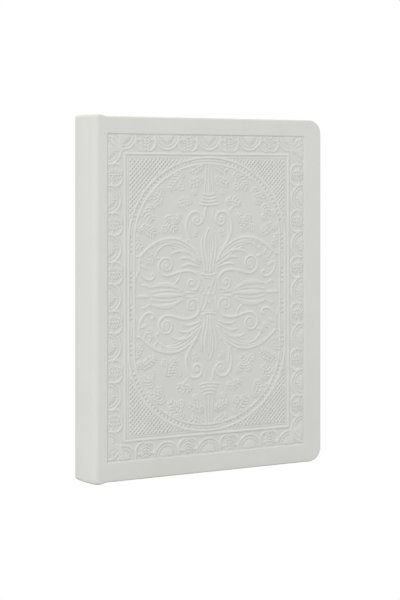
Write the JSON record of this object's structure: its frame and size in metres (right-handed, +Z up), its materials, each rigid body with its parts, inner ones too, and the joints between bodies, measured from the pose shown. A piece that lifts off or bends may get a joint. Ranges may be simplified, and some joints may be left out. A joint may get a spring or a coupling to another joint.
{
  "type": "journal sketchbook",
  "caption": "Closed hardcover journal in pale leather, with a panel of scrollwork pressed into its front cover, round fore-edge corners and two covers that open on a plain spine.",
  "frame": {"origin": "centre of the closed book's bounding box at its lowest plane, where the tail stands", "axes": "+Z up from tail to head, +X from the spine to the fore-edge, front cover facing -Y"},
  "size_m": [0.153, 0.026, 0.2048],
  "materials": {
    "cover_leather": "smooth pale leather with a soft sheen, pressed in relief on the front",
    "board": "grey millboard",
    "card": "thin card",
    "pages": "uncoated, trimmed in a block",
    "endpaper": "uncoated, slightly heavier than the pages",
    "mull": "open woven cloth, sized",
    "kraft_paper": "brown kraft",
    "headband": "woven cotton tape with a stitched bead"
  },
  "bodies": {
    "book": {"text_block": "pages", "front_flyleaf": "endpaper", "back_flyleaf": "endpaper", "spine_leather": "cover_leather", "spine_stiffener": "card", "spine_mull": "mull", "spine_lining": "kraft_paper", "head_band": "headband", "tail_band": "headband"},
    "front_cover": {"front_cover_leather": "cover_leather", "front_board": "board", "front_pastedown": "endpaper"},
    "back_cover": {"back_cover_leather": "cover_leather", "back_board": "board", "back_pastedown": "endpaper"}
  },
  "joints": [
    {"name": "front_cover_hinge", "type": "hinge", "parent": "book", "child": "front_cover", "pos_m": [-0.07181, -0.01315, 0.1024], "axis": [0, 0, -1], "range_deg": [0, 180]},
    {"name": "back_cover_hinge", "type": "hinge", "parent": "book", "child": "back_cover", "pos_m": [-0.07181, 0.01315, 0.1024], "axis": [0, 0, 1], "range_deg": [0, 180]}
  ]
}
